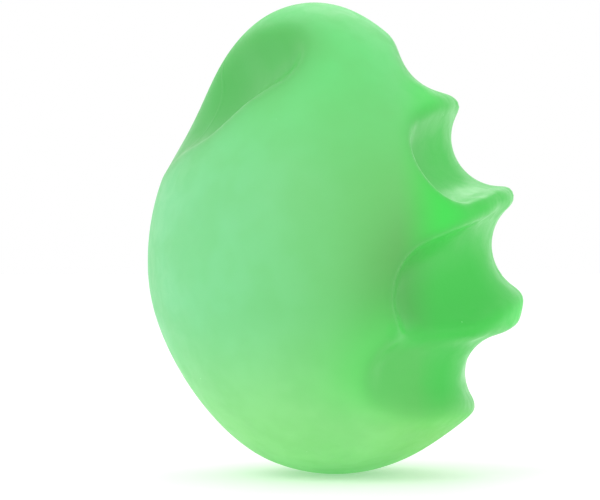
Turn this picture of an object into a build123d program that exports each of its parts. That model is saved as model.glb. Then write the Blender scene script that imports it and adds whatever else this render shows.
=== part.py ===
"""A gel-filled stress ball, held in the squeezed shape that a closed left hand gives it.

The frame stands at the middle of the ball: +X points to the finger side, -Y to the
front, where the skin bulges out between the thumb and the fingertips, and +Y to the
palm, where the fill hole is.  Lengths are in millimetres.
"""
from build123d import *
import os
import numpy as np

# ---------------------------------------------------------------- driving dimensions
RELAXED_DIAMETER = 70.0      # the ball when nobody holds it

WALL = 2.4                   # rubber skin
FILL_GAP = 0.25              # between the skin and its filling

# Two ellipsoids make the form without its grooves.  The gel hardly gives in volume, so
# their depth along Y is what brings the gripped ball to the relaxed ball's volume.
BELLY_CENTRE = (0.0, 0.0, -4.0)
BELLY_HALF_AXES = (33.0, 39.0, 37.5)
CROWN_CENTRE = (-3.7, -2.0, 22.0)
CROWN_HALF_AXES = (17.6, 23.5, 19.3)
CROWN_BLEND = 7.0

# The hand flattens two places: a unit direction out of the ball and a distance.
PALM_SIDE = (0.0, 1.0, 0.0)
PALM_DISTANCE = 28.5
PALM_BLEND = 6.0
HEEL_SIDE = (-0.80, 0.25, -0.55)
HEEL_DISTANCE = 35.3
HEEL_BLEND = 6.0

# Each finger lies along a bent line: x, y, z of its axis, and its radius there.
THUMB = [
    (-13.0, -22.0, 32.4, 6.9),
    (-23.5, -14.0, 26.8, 9.5),
    (-37.0, -2.0, 21.0, 10.5),
]
FINGERS = {
    "index": [
        (18.9, -15.0, 32.8, 7.4),
        (18.9, 0.0, 33.2, 7.9),
        (22.0, 15.0, 32.0, 7.8),
        (25.0, 29.5, 25.0, 8.0),
    ],
    "middle": [
        (20.4, -27.0, 14.4, 8.5),
        (29.0, -10.5, 18.0, 8.5),
        (28.5, 6.5, 17.0, 8.5),
        (20.0, 29.5, 12.0, 8.5),
    ],
    "ring": [
        (17.9, -34.5, -9.4, 8.9),
        (34.0, -18.0, -2.2, 8.7),
        (37.0, 0.0, -0.7, 8.7),
        (26.0, 26.5, 0.0, 8.8),
    ],
    "little": [
        (13.5, -35.5, -24.8, 8.4),
        (29.0, -19.0, -25.0, 8.0),
        (31.5, 2.0, -23.0, 8.0),
        (22.0, 26.5, -16.0, 8.0),
    ],
}
KNUCKLE_BLEND = 3.0          # between the lengths of one finger
WEB_BLEND = 4.5              # lowers the webs that stand between two fingers
RIM_BLEND = 2.6              # rounds the edge of each groove
SWELL = 0.8                  # the skin that these fingers push up beside them
SWELL_FINGERS = ("middle", "ring", "little")
SWELL_REACH = 6.0

# The form is lofted through rings, which open from the front pole like cones.
RING_CENTRE = (0.0, -4.0, -4.0)
RINGS = 56
RING_POINTS = 120
FINGER_SIDE_DENSITY = 0.4    # 0 spreads the points evenly round a ring
EVENING_PASSES = 1
PALM_FLAT_RADIUS = 9.0       # the last ring, which lies in the palm flat

# The fill hole runs along Y through the middle of the palm flat.
HOLE_X, _, HOLE_Z = RING_CENTRE
PALM_FACE = PALM_DISTANCE
RECESS_DEPTH = 1.6
RECESS_FLOOR = PALM_FACE - RECESS_DEPTH
RECESS_RADIUS = 4.3
HOLE_OUTER_RADIUS = 2.6
HOLE_INNER_RADIUS = 2.3
NECK_LENGTH = 8.5
NECK_END = PALM_FACE - NECK_LENGTH
NECK_END_RADIUS = 5.5
NECK_ROOT = PALM_FACE - 0.5 * WALL
NECK_ROOT_RADIUS = 7.5

PLUG_GAP = 0.1
HEAD_TOP = PALM_FACE - 0.35
BARB_SHOULDER = NECK_END - 0.2
BARB_RADIUS = 3.1
BARB_TIP = BARB_SHOULDER - 3.0
BARB_TIP_RADIUS = 1.3
DAB_HEIGHT = 0.45


def smooth_min(a, b, blend):
    """The smaller of two fields, rounded where they cross."""
    share = np.clip(0.5 + 0.5 * (b - a) / blend, 0.0, 1.0)
    return b + (a - b) * share - blend * share * (1.0 - share)


def smooth_max(a, b, blend):
    return -smooth_min(-a, -b, blend)


def ellipsoid_field(points, centre, half_axes):
    """Roughly the distance out of an ellipsoid, negative inside it."""
    offset = points - np.array(centre)
    half = np.array(half_axes)
    scaled = np.linalg.norm(offset / half, axis=-1)
    slope = np.linalg.norm(offset / half**2, axis=-1)
    return scaled * (scaled - 1.0) / np.maximum(slope, 1e-9)


def finger_field(points, joints):
    """The distance out of one finger, as a bent line of tapering round lengths."""
    field = None
    for (*start, start_radius), (*end, end_radius) in zip(joints, joints[1:]):
        start = np.array(start)
        length = np.array(end) - start
        along = np.clip((points - start) @ length / (length @ length), 0.0, 1.0)
        nearest = start + along[..., None] * length
        radius = start_radius + (end_radius - start_radius) * along
        distance = np.linalg.norm(points - nearest, axis=-1) - radius
        field = distance if field is None else smooth_min(field, distance, KNUCKLE_BLEND)
    return field


def fingers_field(points, names):
    """The distance out of the named fingers, with the webs between them lowered."""
    field = None
    for name in names:
        finger = finger_field(points, FINGERS[name])
        field = finger if field is None else smooth_min(field, finger, WEB_BLEND)
    return field


def flat_field(points, side, distance):
    normal = np.array(side) / np.linalg.norm(side)
    return points @ normal - distance


def gripped_field(points):
    """Roughly the distance out of the gripped ball, negative inside it."""
    ball = smooth_min(
        ellipsoid_field(points, BELLY_CENTRE, BELLY_HALF_AXES),
        ellipsoid_field(points, CROWN_CENTRE, CROWN_HALF_AXES),
        CROWN_BLEND,
    )
    beside = np.maximum(fingers_field(points, SWELL_FINGERS), 0.0)
    ball = ball - SWELL * np.exp(-((beside / SWELL_REACH) ** 2))
    ball = smooth_max(ball, flat_field(points, HEEL_SIDE, HEEL_DISTANCE), HEEL_BLEND)
    ball = smooth_max(ball, flat_field(points, PALM_SIDE, PALM_DISTANCE), PALM_BLEND)
    ball = smooth_max(ball, -fingers_field(points, FINGERS), RIM_BLEND)
    return smooth_max(ball, -finger_field(points, THUMB), RIM_BLEND)


def reach_of(directions, inset):
    """How far the inset form reaches from the ring centre in each direction."""
    steps = np.linspace(1.0, 60.0, 100)
    outside = gripped_field(RING_CENTRE + steps[:, None] * directions[..., None, :]) > -inset
    first_out = np.argmax(outside, axis=-1)
    high = steps[first_out]
    low = steps[first_out - 1]
    for _ in range(24):
        middle = 0.5 * (low + high)
        is_out = gripped_field(RING_CENTRE + middle[..., None] * directions) > -inset
        high = np.where(is_out, middle, high)
        low = np.where(is_out, low, middle)
    return high


def evened(reach):
    """Soften steep groove walls, which the rings are too far apart to follow."""
    for _ in range(EVENING_PASSES):
        reach = 0.5 * reach + 0.25 * (np.roll(reach, 1, axis=1) + np.roll(reach, -1, axis=1))
        reach[1:-1] = 0.5 * reach[1:-1] + 0.25 * (reach[:-2] + reach[2:])
    return reach


def gripped_form(inset):
    """The gripped ball as one smooth solid, pulled in by the inset."""
    turns = np.linspace(0.0, 2.0 * np.pi, RING_POINTS, endpoint=False)
    around = turns - FINGER_SIDE_DENSITY * np.sin(turns)
    knots = [*(turns / (2.0 * np.pi)), 1.0]
    flat_depth = PALM_DISTANCE - inset - RING_CENTRE[1]
    last_opening = np.pi - np.arctan2(PALM_FLAT_RADIUS, flat_depth)
    openings = np.linspace(0.0, last_opening, RINGS)[:, None]
    directions = np.stack([
        np.sin(openings) * np.cos(around),
        -np.cos(openings) * np.ones_like(around),
        np.sin(openings) * np.sin(around),
    ], axis=-1)
    points = RING_CENTRE + evened(reach_of(directions, inset))[..., None] * directions
    rings = [Vertex(*points[0, 0])]
    for ring in points[1:]:
        outline = [Vector(*point) for point in ring]
        rings.append(Wire([Edge.make_spline(outline, periodic=True, parameters=knots)]))
    return Solid.make_loft(rings)


def turned(outline):
    """Revolve a closed (radius, y) outline about the fill hole's axis."""
    upright = Plane(origin=(HOLE_X, 0.0, HOLE_Z), x_dir=(1.0, 0.0, 0.0), z_dir=(0.0, 0.0, 1.0))
    axis = Axis((HOLE_X, 0.0, HOLE_Z), (0.0, 1.0, 0.0))
    return revolve(upright * make_face(outline), axis)


def neck(grow):
    """The thick ring inside the skin that holds the plug."""
    return turned(Polyline(
        (0.0, NECK_END - grow),
        (NECK_END_RADIUS + grow, NECK_END - grow),
        (NECK_ROOT_RADIUS + grow, NECK_ROOT),
        (0.0, NECK_ROOT),
        close=True,
    ))


def fill_hole():
    """The tapered hole through the neck, with the recess for the plug's head."""
    return turned(Polyline(
        (0.0, NECK_END - 1.0),
        (HOLE_INNER_RADIUS, NECK_END - 1.0),
        (HOLE_OUTER_RADIUS, RECESS_FLOOR),
        (RECESS_RADIUS, RECESS_FLOOR),
        (RECESS_RADIUS, PALM_FACE + 1.0),
        (0.0, PALM_FACE + 1.0),
        close=True,
    ))


def outer_skin():
    """The moulded rubber skin, with its neck and open fill hole."""
    return gripped_form(0.0) - gripped_form(WALL) + neck(0.0) - fill_hole()


def gel_filling():
    """The gel, which fills the skin round the neck and the plug's barb."""
    pocket = turned(Polyline(
        (0.0, BARB_TIP - FILL_GAP),
        (BARB_RADIUS + FILL_GAP, BARB_TIP - FILL_GAP),
        (BARB_RADIUS + FILL_GAP, NECK_END),
        (0.0, NECK_END),
        close=True,
    ))
    return gripped_form(WALL + FILL_GAP) - neck(FILL_GAP) - pocket


def fill_plug():
    """The stopper: a flat head, a tapered stem and a barb past the neck."""
    return turned(Polyline(
        (0.0, BARB_TIP),
        (BARB_TIP_RADIUS, BARB_TIP),
        (BARB_RADIUS, BARB_SHOULDER),
        (HOLE_INNER_RADIUS - PLUG_GAP, BARB_SHOULDER),
        (HOLE_OUTER_RADIUS - PLUG_GAP, RECESS_FLOOR + PLUG_GAP),
        (RECESS_RADIUS - PLUG_GAP, RECESS_FLOOR + PLUG_GAP),
        (RECESS_RADIUS - PLUG_GAP, HEAD_TOP),
        (0.0, HEAD_TOP),
        close=True,
    ))


def plug_sealant():
    """The cured dab of clear sealant that fills the recess over the plug."""
    radius = RECESS_RADIUS - PLUG_GAP
    dome_radius = (radius**2 + DAB_HEIGHT**2) / (2.0 * DAB_HEIGHT)
    halfway_drop = dome_radius - np.sqrt(dome_radius**2 - (0.5 * radius) ** 2)
    top = (0.0, PALM_FACE + DAB_HEIGHT)
    halfway = (0.5 * radius, PALM_FACE + DAB_HEIGHT - halfway_drop)
    rim = (radius, PALM_FACE)
    sides = Polyline(top, (0.0, HEAD_TOP), (radius, HEAD_TOP), rim)
    return turned(sides + ThreePointArc(rim, halfway, top))


def main():
    os.makedirs("parts", exist_ok=True)
    for piece in (outer_skin, gel_filling, fill_plug, plug_sealant):
        solid = piece()
        export_step(solid, f"parts/{piece.__name__}.step")
    relaxed_volume = np.pi * RELAXED_DIAMETER**3 / 6.0
    print(f"gripped volume is {gripped_form(0.0).volume / relaxed_volume:.3f} of the relaxed ball's")


main()
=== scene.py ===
"""Looks of a gripped glow-in-the-dark stress ball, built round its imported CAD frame.

Lengths are in metres.  -Y is the front, where the skin bulges between the thumb and the
fingertips, +X is the finger side, and +Y is the palm side with the plugged fill hole.
"""
import math

import bmesh
import bpy
import numpy as np
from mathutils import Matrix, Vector


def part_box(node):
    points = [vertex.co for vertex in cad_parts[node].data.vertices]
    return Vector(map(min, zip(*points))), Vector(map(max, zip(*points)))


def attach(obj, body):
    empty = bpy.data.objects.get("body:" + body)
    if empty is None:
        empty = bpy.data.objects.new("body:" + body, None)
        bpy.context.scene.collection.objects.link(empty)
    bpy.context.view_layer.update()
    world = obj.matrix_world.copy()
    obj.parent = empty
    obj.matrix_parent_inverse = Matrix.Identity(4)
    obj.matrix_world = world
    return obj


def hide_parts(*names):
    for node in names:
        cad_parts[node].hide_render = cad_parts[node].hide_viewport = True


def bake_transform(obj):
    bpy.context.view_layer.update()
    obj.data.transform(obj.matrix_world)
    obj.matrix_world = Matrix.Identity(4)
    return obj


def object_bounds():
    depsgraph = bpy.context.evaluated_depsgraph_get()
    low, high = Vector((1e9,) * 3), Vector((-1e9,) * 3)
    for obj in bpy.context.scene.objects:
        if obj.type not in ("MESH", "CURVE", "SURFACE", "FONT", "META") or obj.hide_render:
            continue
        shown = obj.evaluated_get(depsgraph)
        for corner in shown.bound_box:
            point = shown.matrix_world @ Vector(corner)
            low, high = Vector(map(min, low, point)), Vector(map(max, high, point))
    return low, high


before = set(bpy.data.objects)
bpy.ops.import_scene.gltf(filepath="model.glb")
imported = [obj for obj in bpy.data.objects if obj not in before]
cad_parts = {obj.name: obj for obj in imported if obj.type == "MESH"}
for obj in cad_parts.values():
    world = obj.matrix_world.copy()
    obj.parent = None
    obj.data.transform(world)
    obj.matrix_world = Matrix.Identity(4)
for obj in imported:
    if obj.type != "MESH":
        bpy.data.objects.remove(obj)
cad_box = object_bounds()

MM = 0.001

SKIN_VOXEL = 0.7 * MM
GEL_VOXEL = 1.4 * MM
SKIN_SMOOTHING = 10
GEL_SMOOTHING = 12
# A smoothing pass draws each corner towards its neighbours, then pushes it back a little more.
SMOOTH_IN = 0.55
SMOOTH_OUT = -0.57

PARTING_Y = -4 * MM          # the plane where the two halves of the mould met

# The glue dab: its thickness at the edge, and shares that shape its edge and its dome.
DAB_EDGE = 0.35 * MM
EDGE_WAVER = 0.035
DOME_FULLNESS = 2.6
RIPPLE = 0.05

FLOOR_REACH = 6.0
FLOOR_DROP = 0.02


# ---------------------------------------------------- the hand's grip, in millimetres
# The frame's skin has these same forms with softer rims.  Each finger lies along a bent
# line: x, y, z of its axis, and its radius there.
THUMB = [
    (-13.0, -22.0, 32.4, 6.9),
    (-23.5, -14.0, 26.8, 9.5),
    (-37.0, -2.0, 21.0, 10.5),
]
FINGERS = {
    "index": [
        (18.9, -15.0, 32.8, 7.4),
        (18.9, 0.0, 33.2, 7.9),
        (22.0, 15.0, 32.0, 7.8),
        (25.0, 29.5, 25.0, 8.0),
    ],
    "middle": [
        (20.4, -27.0, 14.4, 8.5),
        (29.0, -10.5, 18.0, 8.5),
        (28.5, 6.5, 17.0, 8.5),
        (20.0, 29.5, 12.0, 8.5),
    ],
    "ring": [
        (17.9, -34.5, -9.4, 8.9),
        (34.0, -18.0, -2.2, 8.7),
        (37.0, 0.0, -0.7, 8.7),
        (26.0, 26.5, 0.0, 8.8),
    ],
    "little": [
        (13.5, -35.5, -24.8, 8.4),
        (29.0, -19.0, -25.0, 8.0),
        (31.5, 2.0, -23.0, 8.0),
        (22.0, 26.5, -16.0, 8.0),
    ],
}
KNUCKLE_BLEND = 3.0
WEB_BLEND = 4.0
RIM_BLEND = 2.3
SWELL = 0.8
SWELL_FINGERS = ("middle", "ring", "little")
SWELL_REACH = 6.0

# Centre and half axes of the two ellipsoids under the grooves.
BELLY = ((0.0, 0.0, -4.0), (33.0, 39.0, 37.5))
CROWN = ((-3.7, -2.0, 22.0), (17.6, 23.5, 19.3))
CROWN_BLEND = 7.0
# Direction, distance and blend of the two flats that the palm presses.
PALM = ((0.0, 1.0, 0.0), 28.5, 6.0)
HEEL = ((-0.80, 0.25, -0.55), 35.3, 6.0)

# The outer face lies less than half the wall deep, outside the clearance round the fill hole.
SKIN_WALL = 2.4
HOLE_AXIS = (0.0, -4.0)      # x, z
HOLE_CLEARANCE = 5.4
PRESS_ROUNDS = 6
PRESS_STEPS = 2
PRESS_SPREAD = 0.5
LEAST_STEEPNESS = 0.25
SLOPE_STEP = 0.05

# How far from the fingers the skin takes on each tone of painted shade, and how strong two of these
# tones are.
CONTACT_REACH = 1.6
RING_SHADE_REACH = 7.0
THUMB_SHADE_REACH = 4.0
THUMB_SHADE = 0.5
LITTLE_REACH = 8.0
LITTLE_WEB = 0.45
CUSP_REACH = 4.5
WEB_SIDE = (9.0, 18.0)       # x, from the front bulge to the webs
WEB_BACK = (-2.0, 16.0)      # y, from the webs to the palm side
WEB_BOTTOM = (-35.0, -24.0)  # z, from the bottom up to the webs


def smooth_min(first, second, blend):
    """The smaller of two fields, rounded where they cross."""
    share = np.clip(0.5 + 0.5 * (second - first) / blend, 0.0, 1.0)
    return second + (first - second) * share - blend * share * (1.0 - share)


def smooth_max(first, second, blend):
    """The larger of two fields, rounded where they cross."""
    return -smooth_min(-first, -second, blend)


def ellipsoid_field(points, centre, half_axes):
    """Roughly the distance out of an ellipsoid, negative inside it."""
    offset = points - np.array(centre)
    half = np.array(half_axes)
    scaled = np.linalg.norm(offset / half, axis=-1)
    slope = np.linalg.norm(offset / half**2, axis=-1)
    return scaled * (scaled - 1.0) / np.maximum(slope, 1e-9)


def finger_field(points, joints):
    """The distance out of one finger, as a bent line of tapering round lengths."""
    field = None
    for (*start, start_radius), (*end, end_radius) in zip(joints, joints[1:]):
        start = np.array(start)
        length = np.array(end) - start
        along = np.clip((points - start) @ length / (length @ length), 0.0, 1.0)
        nearest = start + along[..., None] * length
        radius = start_radius + (end_radius - start_radius) * along
        distance = np.linalg.norm(points - nearest, axis=-1) - radius
        field = distance if field is None else smooth_min(field, distance, KNUCKLE_BLEND)
    return field


def flat_field(points, direction, distance):
    """The distance past a flat that faces the direction."""
    return points @ (np.array(direction) / np.linalg.norm(direction)) - distance


def fingers_field(points, names):
    """The distance out of the named fingers, with the webs between them lowered."""
    field = None
    for name in names:
        finger = finger_field(points, FINGERS[name])
        field = finger if field is None else smooth_min(field, finger, WEB_BLEND)
    return field


def grip_field(points):
    """Roughly the distance out of the gripped ball, negative inside it."""
    ball = smooth_min(ellipsoid_field(points, *BELLY), ellipsoid_field(points, *CROWN), CROWN_BLEND)
    beside = np.maximum(fingers_field(points, SWELL_FINGERS), 0.0)
    ball = ball - SWELL * np.exp(-((beside / SWELL_REACH) ** 2))
    for direction, distance, blend in (HEEL, PALM):
        ball = smooth_max(ball, flat_field(points, direction, distance), blend)
    ball = smooth_max(ball, -fingers_field(points, FINGERS), RIM_BLEND)
    return smooth_max(ball, -finger_field(points, THUMB), RIM_BLEND)


def field_slope(points):
    """The field's gradient, by differences."""
    slope = np.empty_like(points)
    for axis in range(3):
        nudge = np.zeros(3)
        nudge[axis] = SLOPE_STEP
        rise = grip_field(points + nudge) - grip_field(points - nudge)
        slope[:, axis] = rise / (2 * SLOPE_STEP)
    return slope


# ---------------------------------------------------------------------- mesh helpers
def new_object(name, mesh):
    piece = bpy.data.objects.new(name, mesh)
    bpy.context.scene.collection.objects.link(piece)
    return piece


def modified_mesh(piece):
    """The mesh that a piece's modifiers make, as a new mesh."""
    graph = bpy.context.evaluated_depsgraph_get()
    return bpy.data.meshes.new_from_object(piece.evaluated_get(graph))


def evenly_meshed(node, name, voxel):
    """A CAD node's shape as a new piece of even quads."""
    piece = new_object(name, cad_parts[node].data.copy())
    piece.data.materials.clear()
    remesh = piece.modifiers.new("remesh", "REMESH")
    remesh.mode = "VOXEL"
    remesh.voxel_size = voxel
    rough = piece.data
    piece.data = modified_mesh(piece)
    piece.modifiers.clear()
    bpy.data.meshes.remove(rough)
    piece.data.name = name
    return piece


def corners(mesh):
    """The places of a mesh's corners, one row each."""
    places = np.empty(len(mesh.vertices) * 3)
    mesh.vertices.foreach_get("co", places)
    return places.reshape(-1, 3)


def put_corners(mesh, places):
    mesh.vertices.foreach_set("co", places.ravel())
    mesh.update()


def neighbour_mean(mesh, places):
    """The mean place of each corner's neighbours."""
    edges = np.empty(len(mesh.edges) * 2, np.int64)
    mesh.edges.foreach_get("vertices", edges)
    first, second = edges.reshape(-1, 2).T
    total = np.zeros_like(places)
    np.add.at(total, first, places[second])
    np.add.at(total, second, places[first])
    count = np.bincount(edges, minlength=len(places))
    return total / count[:, None]


def smooth(mesh, passes):
    """Take out facets and ripples without shrinking the form."""
    places = corners(mesh)
    for _ in range(passes):
        for step in (SMOOTH_IN, SMOOTH_OUT):
            places = places + step * (neighbour_mean(mesh, places) - places)
    put_corners(mesh, places)


def press_into_grip(mesh):
    """Bring the outer face onto the hand's exact grip, with evenly spread corners."""
    points = corners(mesh) / MM
    from_hole = np.hypot(points[:, 0] - HOLE_AXIS[0], points[:, 2] - HOLE_AXIS[1])
    near_hole = (from_hole < HOLE_CLEARANCE) & (points[:, 1] > 0)
    outer = (grip_field(points) > -0.5 * SKIN_WALL) & ~near_hole
    for _ in range(PRESS_ROUNDS):
        spread = points + PRESS_SPREAD * (neighbour_mean(mesh, points) - points)
        moved = spread[outer]
        for _ in range(PRESS_STEPS):
            slope = field_slope(moved)
            steep = np.maximum((slope * slope).sum(axis=1), LEAST_STEEPNESS)
            moved = moved - (grip_field(moved) / steep)[:, None] * slope
        points[outer] = moved
    put_corners(mesh, points * MM)


def shade_smooth(mesh):
    mesh.polygons.foreach_set("use_smooth", [True] * len(mesh.polygons))


def disc_faces(build, centre, rows):
    """Faces from one middle corner out through rows of corners that ring it."""
    spokes = len(rows[0])
    for spoke in range(spokes):
        after = (spoke + 1) % spokes
        build.faces.new((centre, rows[0][spoke], rows[0][after]))
        for inner, outer in zip(rows, rows[1:]):
            build.faces.new((inner[spoke], outer[spoke], outer[after], inner[after]))


def smooth_mesh(build, name):
    """A finished build as a mesh with smooth shading."""
    mesh = bpy.data.meshes.new(name)
    build.to_mesh(mesh)
    build.free()
    shade_smooth(mesh)
    return mesh


def point_attribute(mesh, name, values):
    """Store one value per corner, for the material to read."""
    attribute = mesh.attributes.new(name, "FLOAT", "POINT")
    attribute.data.foreach_set("value", values.astype(np.float32))


def keep_rest_places(mesh):
    """Store each corner's place at rest, so that a pattern gives with the skin."""
    places = mesh.attributes.new("rest_place", "FLOAT_VECTOR", "POINT")
    places.data.foreach_set("vector", corners(mesh).astype(np.float32).ravel())


def smoothstep(values, low, high):
    """0 below low and 1 above high, eased between them."""
    share = np.clip((values - low) / (high - low), 0.0, 1.0)
    return share * share * (3.0 - 2.0 * share)


def closeness(distance, reach):
    """1 at or inside a surface, fading to 0 over the reach."""
    return np.exp(-((np.maximum(distance, 0.0) / reach) ** 2))


def mark_grip(mesh):
    """Store where the hand touches the skin, and the painted shade beside the fingers and in the webs
    between them.
    """
    points = corners(mesh) / MM
    thumb = finger_field(points, THUMB)
    ring = finger_field(points, FINGERS["ring"])
    little = finger_field(points, FINGERS["little"])
    # Where the fingers press: the material paints shade there and makes the skin shinier.
    contact = closeness(np.minimum(fingers_field(points, FINGERS), thumb), CONTACT_REACH)
    # Painted shade beside the ring finger's and the thumb's grooves, where the hand's fingers would
    # shade the skin.
    ring_shade = closeness(ring, RING_SHADE_REACH) * (1.0 - closeness(little, CUSP_REACH))
    shade = np.maximum(ring_shade, THUMB_SHADE * closeness(thumb, THUMB_SHADE_REACH))
    # Painted shade: the webs between the fingers, beside the little finger and in the cusp between
    # ring and little, where little room light reaches.
    between = smoothstep(points[:, 0], *WEB_SIDE) * (1.0 - smoothstep(points[:, 1], *WEB_BACK))
    beside_little = LITTLE_WEB * closeness(little, LITTLE_REACH)
    cusp = closeness(ring, CUSP_REACH) * closeness(little, CUSP_REACH)
    above = smoothstep(points[:, 2], *WEB_BOTTOM)
    web = np.maximum.reduce([between, beside_little, cusp]) * above
    point_attribute(mesh, "contact", contact)
    point_attribute(mesh, "shade", shade)
    point_attribute(mesh, "web", web)


# ------------------------------------------------------------------ material helpers
def linear_light(level):
    """One display level, 0 to 255, as linear light."""
    share = level / 255
    if share <= 0.04045:
        return share / 12.92
    return ((share + 0.055) / 1.055) ** 2.4


def srgb(red, green, blue):
    """A display colour as linear RGBA."""
    return (linear_light(red), linear_light(green), linear_light(blue), 1.0)


class Nodes:
    """Short calls for building one material's node tree."""

    def __init__(self, name):
        self.material = bpy.data.materials.new(name)
        self.material.use_nodes = True
        self.tree = self.material.node_tree
        self.shader = self.tree.nodes["Principled BSDF"]
        self.place = self.tree.nodes.new("ShaderNodeTexCoord").outputs["Object"]

    def add(self, kind, settings=None, **inputs):
        """Add a node; inputs are sockets to link or values to set, by socket name."""
        node = self.tree.nodes.new(kind)
        for key, value in (settings or {}).items():
            setattr(node, key, value)
        for key, value in inputs.items():
            self.feed(node.inputs[key.replace("_", " ")], value)
        return node

    def feed(self, socket, value):
        """Link a socket's value to another socket, or set it."""
        if isinstance(value, bpy.types.NodeSocket):
            self.tree.links.new(value, socket)
        else:
            socket.default_value = value

    def shade(self, **inputs):
        """Link or set the shader's own sockets."""
        for key, value in inputs.items():
            self.feed(self.shader.inputs[key.replace("_", " ")], value)

    def noise(self, size, detail=3.0, roughness=0.55, distortion=0.0):
        """A soft noise from 0 to 1 whose lumps are about size across."""
        return self.add("ShaderNodeTexNoise", Vector=self.place, Scale=1.0 / size, Detail=detail,
                        Roughness=roughness, Distortion=distortion).outputs["Fac"]

    def remap(self, value, low, high, to_low=0.0, to_high=1.0):
        """Ease from to_low to to_high while the value goes from low to high."""
        node = self.add("ShaderNodeMapRange", {"interpolation_type": "SMOOTHSTEP"})
        for key, entry in zip(("Value", "From Min", "From Max", "To Min", "To Max"),
                              (value, low, high, to_low, to_high)):
            self.feed(node.inputs[key], entry)
        return node.outputs["Result"]

    def mix(self, share, first, second):
        """A colour between two; the node's colour sockets are known by number alone."""
        node = self.add("ShaderNodeMix", {"data_type": "RGBA"})
        for index, entry in ((0, share), (6, first), (7, second)):
            self.feed(node.inputs[index], entry)
        return node.outputs[2]

    def math(self, operation, first, second):
        node = self.add("ShaderNodeMath", {"operation": operation})
        self.feed(node.inputs[0], first)
        self.feed(node.inputs[1], second)
        return node.outputs[0]

    def attribute(self, name):
        return self.add("ShaderNodeAttribute", {"attribute_name": name}).outputs["Fac"]

    def specks(self, spacing, size, share):
        """1 on sparse round specks: the share of cells that hold one, and 0 elsewhere."""
        cells = self.add("ShaderNodeTexVoronoi", Vector=self.place, Scale=1.0 / spacing)
        near = self.remap(cells.outputs["Distance"], 0.5 * size / spacing, 0.3 * size / spacing)
        channels = self.add("ShaderNodeSeparateColor", Color=cells.outputs["Color"])
        chosen = self.math("LESS_THAN", channels.outputs["Red"], share)
        return self.math("MULTIPLY", near, chosen)

    def bump(self, height, distance, strength, under=None):
        """A normal that stands up by the height, over the relief under it."""
        node = self.add("ShaderNodeBump", Height=height, Distance=distance, Strength=strength)
        if under is not None:
            self.feed(node.inputs["Normal"], under)
        return node.outputs["Normal"]


# ------------------------------------------------------------------------- materials
def glow_skin_material():
    """Satin rubber with glow powder: pale where the room lights it, pure green in its webs, with
    painted light and shade in its colour and its glow.
    """
    nodes = Nodes("glow_skin")
    nodes.place = nodes.add("ShaderNodeAttribute", {"attribute_name": "rest_place"}).outputs["Vector"]
    place = nodes.add("ShaderNodeSeparateXYZ", Vector=nodes.place)
    # Shares for painted light and shade across the ball, by place.
    leftward = nodes.remap(place.outputs["X"], 12 * MM, -30 * MM)
    downward = nodes.remap(place.outputs["Z"], -10 * MM, -38 * MM)
    upward = nodes.remap(place.outputs["Z"], 4 * MM, 34 * MM)
    rightward = nodes.remap(place.outputs["X"], 2 * MM, 18 * MM)
    contact = nodes.attribute("contact")
    shade = nodes.attribute("shade")
    web = nodes.attribute("web")
    mottle = nodes.noise(9 * MM, detail=2.0)
    dusty = nodes.specks(2.6 * MM, 0.30 * MM, 0.14)
    dark_grain = nodes.specks(4.2 * MM, 0.26 * MM, 0.10)

    # Painted light and shade: paler towards the left and the bottom, greener towards the top,
    # yellower at the bottom right.
    paint = nodes.mix(leftward, srgb(94, 156, 86), srgb(114, 177, 132))
    low = nodes.mix(rightward, srgb(138, 192, 124), srgb(124, 182, 94))
    paint = nodes.mix(downward, paint, low)
    paint = nodes.mix(upward, paint, srgb(93, 178, 104))
    paint = nodes.mix(nodes.remap(mottle, 0.35, 0.65, 0.0, 0.2), paint, srgb(92, 156, 84))
    # Painted shade: an olive darkening beside the ring finger and the thumb.
    paint = nodes.mix(nodes.math("MULTIPLY", shade, 0.75), paint, srgb(74, 114, 56))
    # Painted shade: a deeper, purer green in the webs between the fingers.
    paint = nodes.mix(web, paint, srgb(44, 156, 50))
    # Painted shade: darker green on the groove floors where the fingers pressed.
    paint = nodes.mix(nodes.math("MULTIPLY", contact, 0.45), paint, srgb(62, 140, 62))
    paint = nodes.mix(nodes.math("MULTIPLY", dusty, 0.30), paint, srgb(206, 232, 206))
    paint = nodes.mix(nodes.math("MULTIPLY", dark_grain, 0.30), paint, srgb(60, 110, 56))

    # The glow is partly the powder's own and partly painted light that evens out the shading; it is
    # painted brighter green in the webs and painted darker, as shade, where the fingers pressed.
    glow = nodes.mix(nodes.remap(mottle, 0.3, 0.7, 0.0, 0.2), srgb(48, 126, 62), srgb(40, 118, 50))
    glow = nodes.mix(web, glow, srgb(44, 160, 62))
    glow = nodes.mix(nodes.math("MULTIPLY", contact, 0.5), glow, srgb(38, 108, 44))

    grain = nodes.noise(0.32 * MM, detail=4.0, roughness=0.65)
    swirl = nodes.noise(3.5 * MM, detail=3.0, distortion=0.6)
    from_parting = nodes.math("ABSOLUTE", nodes.math("SUBTRACT", place.outputs["Y"], PARTING_Y), 0.0)
    parting = nodes.remap(from_parting, 0.30 * MM, 0.05 * MM)
    relief = nodes.bump(grain, 0.03 * MM, 0.35)
    relief = nodes.bump(parting, 0.10 * MM, 0.5, under=relief)
    relief = nodes.bump(swirl, 0.10 * MM, 0.25, under=relief)
    relief = nodes.bump(dusty, 0.04 * MM, 0.6, under=relief)
    satin = nodes.remap(swirl, 0.3, 0.7, 0.42, 0.56)
    handled = nodes.math("MULTIPLY", contact, 0.14)
    nodes.shade(Base_Color=paint, Normal=relief, Roughness=nodes.math("SUBTRACT", satin, handled),
                Emission_Color=glow, Emission_Strength=1.0, Subsurface_Weight=0.25,
                Subsurface_Radius=(0.4, 1.0, 0.45), Subsurface_Scale=3 * MM, IOR=1.45,
                Specular_IOR_Level=0.3)
    return nodes.material


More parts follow.
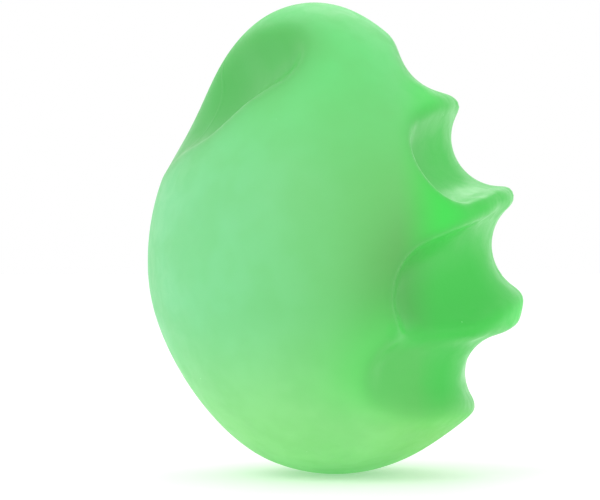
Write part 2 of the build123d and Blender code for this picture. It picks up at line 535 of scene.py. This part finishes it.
def gel_material():
    """Thick pale gel with fine bubbles and glow powder."""
    nodes = Nodes("gel")
    cloud = nodes.noise(7 * MM, detail=4.0, distortion=0.8)
    bubbles = nodes.specks(2.2 * MM, 0.8 * MM, 0.35)
    paint = nodes.mix(cloud, srgb(150, 228, 158), srgb(188, 240, 188))
    paint = nodes.mix(nodes.math("MULTIPLY", bubbles, 0.5), paint, srgb(226, 248, 224))
    relief = nodes.bump(cloud, 0.4 * MM, 0.4)
    relief = nodes.bump(bubbles, 0.15 * MM, 0.6, under=relief)
    nodes.shade(Base_Color=paint, Normal=relief, Roughness=nodes.remap(cloud, 0.3, 0.7, 0.08, 0.22),
                Emission_Color=srgb(60, 150, 72), Emission_Strength=0.4, Subsurface_Weight=0.5,
                Subsurface_Radius=(0.5, 1.0, 0.5), Subsurface_Scale=6 * MM, IOR=1.38)
    return nodes.material


def plug_material():
    """The stopper's rubber: the skin's colour, a little duller, with a moulded grain."""
    nodes = Nodes("plug_rubber")
    mottle = nodes.noise(2.0 * MM, detail=3.0)
    grain = nodes.noise(0.25 * MM, detail=4.0)
    paint = nodes.mix(mottle, srgb(98, 184, 100), srgb(122, 204, 124))
    relief = nodes.bump(grain, 0.03 * MM, 0.5)
    nodes.shade(Base_Color=paint, Normal=relief, Roughness=nodes.remap(mottle, 0.3, 0.7, 0.45, 0.6),
                Emission_Color=srgb(40, 120, 50), Emission_Strength=0.35, IOR=1.49)
    return nodes.material


def sealant_material():
    """Cured clear glue over green rubber: glossy and pale green, with trapped bubbles."""
    nodes = Nodes("clear_sealant")
    wave = nodes.noise(1.6 * MM, detail=2.0, distortion=0.5)
    bubbles = nodes.specks(0.9 * MM, 0.35 * MM, 0.25)
    paint = nodes.mix(wave, srgb(126, 196, 124), srgb(150, 212, 146))
    paint = nodes.mix(nodes.math("MULTIPLY", bubbles, 0.4), paint, srgb(206, 236, 200))
    relief = nodes.bump(wave, 0.10 * MM, 0.5)
    relief = nodes.bump(bubbles, 0.05 * MM, 0.7, under=relief)
    # Painted glow: the clear glue glows faintly green, for the rubber's glow seen through it.
    nodes.shade(Base_Color=paint, Normal=relief, Roughness=nodes.remap(wave, 0.3, 0.7, 0.06, 0.20),
                Transmission_Weight=0.25, Emission_Color=srgb(40, 110, 50), Emission_Strength=0.3,
                IOR=1.47, Coat_Weight=0.4)
    return nodes.material


# ---------------------------------------------------------------------------- pieces
def dress_skin():
    """The rubber skin: the CAD form with even quads, soft groove rims and its recess."""
    skin = evenly_meshed("outer_skin", "soft_skin", SKIN_VOXEL)
    smooth(skin.data, SKIN_SMOOTHING)
    press_into_grip(skin.data)
    mark_grip(skin.data)
    keep_rest_places(skin.data)
    shade_smooth(skin.data)
    skin.data.materials.append(glow_skin_material())
    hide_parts("outer_skin")
    return skin


def dress_gel():
    """The filling, which shows only where the model is cut open."""
    gel = evenly_meshed("gel_filling", "gel_body", GEL_VOXEL)
    smooth(gel.data, GEL_SMOOTHING)
    shade_smooth(gel.data)
    gel.data.materials.append(gel_material())
    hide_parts("gel_filling")
    return gel


def dress_plug():
    """The stopper keeps its CAD shape, with softened edges."""
    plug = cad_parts["fill_plug"]
    edges = plug.modifiers.new("soft_edges", "BEVEL")
    edges.width = 0.15 * MM
    edges.segments = 2
    edges.limit_method = "ANGLE"
    plug.data.materials.clear()
    plug.data.materials.append(plug_material())


def dab_edge(turn):
    """How far out the glue's wavy edge lies, as a share of the recess."""
    return 1 - EDGE_WAVER * (1 + 0.6 * math.sin(3 * turn + 0.7) + 0.4 * math.sin(5 * turn))


def dab_dome(turn, share):
    """How high the glue stands above its edge, as a share, this far out from its middle."""
    ripple = RIPPLE * math.sin(4 * turn + 9 * share) * share * (1 - share)
    return 1 - share ** DOME_FULLNESS + ripple


def dab_mesh(low, high):
    """A low dome with a wavy edge, which fills a box from its low y to its high y."""
    middle = (low + high) / 2
    radius = (high.x - low.x) / 2
    rise = high.y - low.y - DAB_EDGE
    rings, spokes = 14, 72
    dab = bmesh.new()
    rows = []
    for ring in range(1, rings + 1):
        share = ring / rings
        row = []
        for spoke in range(spokes):
            turn = 2 * math.pi * spoke / spokes
            reach = radius * share * dab_edge(turn)
            place = (middle.x + reach * math.cos(turn),
                     low.y + DAB_EDGE + rise * dab_dome(turn, share),
                     middle.z + reach * math.sin(turn))
            row.append(dab.verts.new(place))
        rows.append(row)
    foot = [dab.verts.new((top.co.x, low.y, top.co.z)) for top in rows[-1]]
    disc_faces(dab, dab.verts.new((middle.x, high.y, middle.z)), rows + [foot])
    disc_faces(dab, dab.verts.new((middle.x, low.y, middle.z)), [foot])
    bmesh.ops.recalc_face_normals(dab, faces=dab.faces)
    return smooth_mesh(dab, "glue_dab")


def dress_sealant():
    """The hand-laid dab of glue in the recess over the plug."""
    dab = new_object("glue_dab", dab_mesh(*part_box("plug_sealant")))
    dab.data.materials.append(sealant_material())
    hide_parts("plug_sealant")
    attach(dab, "plug")


# ------------------------------------------------------------------------ the studio
def floor_material():
    """Matt pale paper, lifted a little so that it meets the background evenly."""
    nodes = Nodes("pale_floor")
    fibre = nodes.noise(40 * MM, detail=3.0)
    paper = nodes.mix(fibre, (0.84, 0.85, 0.84, 1.0), (0.88, 0.88, 0.88, 1.0))
    nodes.shade(Base_Color=paper, Roughness=0.75,
                Emission_Color=(1.0, 1.0, 1.0, 1.0), Emission_Strength=0.22)
    return nodes.material


def studio_floor(level):
    """A wide round floor under the ball, faintly domed down at its far edge."""
    rings, spokes = 24, 96
    disc = bmesh.new()
    rows = []
    for ring in range(1, rings + 1):
        share = (ring / rings) ** 2
        radius = FLOOR_REACH * share
        height = level - FLOOR_DROP * share ** 2
        rows.append([disc.verts.new((radius * math.cos(turn), radius * math.sin(turn), height))
                     for turn in np.linspace(0.0, 2 * math.pi, spokes, endpoint=False)])
    disc_faces(disc, disc.verts.new((0.0, 0.0, level)), rows)
    floor = new_object("studio_floor", smooth_mesh(disc, "studio_floor"))
    floor.data.materials.append(floor_material())


def area_light(name, place, size, power):
    """A round soft light that shines at the ball from a place."""
    lamp = bpy.data.lights.new(name, "AREA")
    lamp.shape = "DISK"
    lamp.size = size
    lamp.energy = power
    light = new_object(name, lamp)
    light.location = place
    light.rotation_euler = (-Vector(place)).to_track_quat("-Z", "Y").to_euler()


def studio_lights():
    """A white room with three soft lights round the ball."""
    world = bpy.data.worlds.new("studio_world")
    world.use_nodes = True
    background = world.node_tree.nodes["Background"]
    background.inputs["Color"].default_value = (1.0, 1.0, 1.0, 1.0)
    background.inputs["Strength"].default_value = 1.0
    bpy.context.scene.world = world
    area_light("key_light", (-0.45, -0.55, 0.55), size=0.5, power=1.6)
    area_light("fill_light", (0.6, -0.5, 0.2), size=0.6, power=0.6)
    area_light("back_light", (0.1, 0.7, 0.6), size=0.5, power=1.0)


def photo_camera():
    """Level with the ball, straight from the front; the ball stands right of the middle."""
    lens_width = 36.0
    view_width = 105.9 * MM
    distance = 0.48
    aim = Vector((-6.2 * MM, 0.0, -2.1 * MM))
    camera = bpy.data.cameras.new("photo_camera")
    camera.sensor_width = lens_width
    camera.lens = lens_width * distance / view_width
    camera.clip_start = 0.01
    view = new_object("photo_camera", camera)
    view.location = aim + Vector((0.0, -distance, 0.0))
    view.rotation_euler = (math.pi / 2, 0.0, 0.0)
    bpy.context.scene.camera = view


def main():
    skin = dress_skin()
    gel = dress_gel()
    dress_plug()
    dress_sealant()
    for piece in (skin, gel):
        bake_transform(piece)
    studio_floor(cad_box[0].z)
    studio_lights()
    photo_camera()
    bpy.context.scene.view_settings.view_transform = "Standard"


main()
